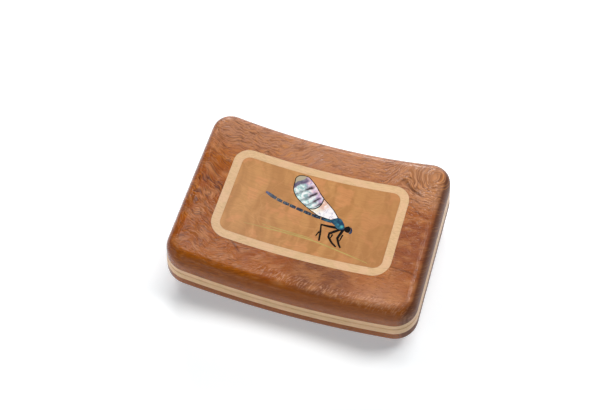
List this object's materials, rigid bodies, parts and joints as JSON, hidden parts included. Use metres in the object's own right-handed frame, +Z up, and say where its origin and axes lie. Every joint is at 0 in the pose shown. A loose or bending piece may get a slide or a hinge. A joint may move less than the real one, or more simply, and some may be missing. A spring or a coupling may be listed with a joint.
{
  "type": "curved wooden fly box",
  "caption": "Curved hinged wooden box that holds dry flies in rippled foam, with an inlaid damselfly in its lid and magnets in the rims that keep it shut.",
  "frame": {"origin": "middle of the narrow flat facet under the box, on which it rests", "axes": "+X along the box, +Y towards the hinges at the back, +Z up"},
  "size_m": [0.1188, 0.0847, 0.0337],
  "materials": {
    "figured_mahogany": "oiled and waxed figured red-brown wood, satin gloss",
    "maple": "pale straight-grained maple, satin gloss",
    "quilted_maple": "tan quilted veneer, satin gloss",
    "paua_shell": "polished iridescent paua shell",
    "pearl_shell": "polished white mother-of-pearl",
    "blue_shell": "polished dark blue and teal shell",
    "ebony": "polished black wood",
    "grass_dye": "thin green-yellow dyed wood line",
    "brass": "polished brass",
    "nickel": "nickel-plated magnet",
    "foam": "closed-cell foam"
  },
  "bodies": {
    "base": {"base_foam": "foam", "base_magnet_left": "nickel", "base_magnet_right": "nickel", "base_rim": "maple", "base_tray": "figured_mahogany", "hinge_left_base_leaf": "brass", "hinge_left_pin": "brass", "hinge_right_base_leaf": "brass", "hinge_right_pin": "brass", "screw_left_base_1": "brass", "screw_left_base_2": "brass", "screw_right_base_1": "brass", "screw_right_base_2": "brass"},
    "lid": {"abdomen_segment_1": "blue_shell", "abdomen_segment_2": "blue_shell", "abdomen_segment_3": "blue_shell", "abdomen_segment_4": "blue_shell", "abdomen_segment_5": "blue_shell", "abdomen_segment_6": "blue_shell", "abdomen_segment_7": "blue_shell", "abdomen_segment_8": "blue_shell", "eye": "blue_shell", "grass_stem": "grass_dye", "head": "ebony", "hinge_left_lid_leaf": "brass", "hinge_right_lid_leaf": "brass", "inlay_border": "maple", "inlay_panel": "quilted_maple", "leg_front": "ebony", "leg_front_far": "ebony", "leg_middle": "ebony", "leg_middle_far": "ebony", "leg_rear": "ebony", "leg_rear_far": "ebony", "lid_foam": "foam", "lid_magnet_left": "nickel", "lid_magnet_right": "nickel", "lid_rim": "maple", "lid_shell": "figured_mahogany", "screw_left_lid_1": "brass", "screw_left_lid_2": "brass", "screw_right_lid_1": "brass", "screw_right_lid_2": "brass", "thorax": "blue_shell", "wing_inner": "pearl_shell", "wing_outer": "paua_shell"}
  },
  "joints": [
    {"name": "lid_hinge", "type": "hinge", "parent": "base", "child": "lid", "pos_m": [0, 0.04205, 0.01475], "axis": [-1, 0, 0], "range_deg": [0, 150]}
  ]
}
